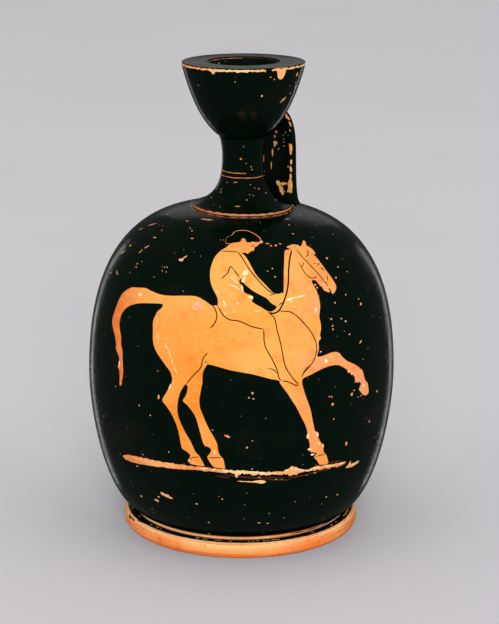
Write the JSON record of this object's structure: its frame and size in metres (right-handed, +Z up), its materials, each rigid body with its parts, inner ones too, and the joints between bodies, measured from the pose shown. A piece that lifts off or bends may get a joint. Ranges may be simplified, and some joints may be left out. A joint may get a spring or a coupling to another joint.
{
  "type": "squat lekythos",
  "caption": "Squat one-handled oil vessel of black-glossed red clay: disc foot, rounded body, slender neck, flaring mouth with a broad lip, and a strap handle.",
  "frame": {"origin": "centre of the foot's resting ring, on the surface that the vessel stands on", "axes": "+Z up along the vessel's axis; +X from the axis towards the handle"},
  "size_m": [0.1178, 0.1178, 0.18],
  "materials": {
    "reserved_clay": "fired orange clay, smoothed, satin",
    "black_gloss": "greenish black slip gloss, worn to orange clay at edges"
  },
  "bodies": {
    "root": {"foot": "reserved_clay", "foot_fillet": "reserved_clay", "body": "black_gloss", "neck_fillet": "reserved_clay", "neck": "black_gloss", "mouth_slip_joint": "black_gloss", "mouth": "black_gloss", "handle": "black_gloss", "handle_upper_slip_joint": "black_gloss", "handle_lower_slip_joint": "black_gloss"}
  },
  "joints": []
}
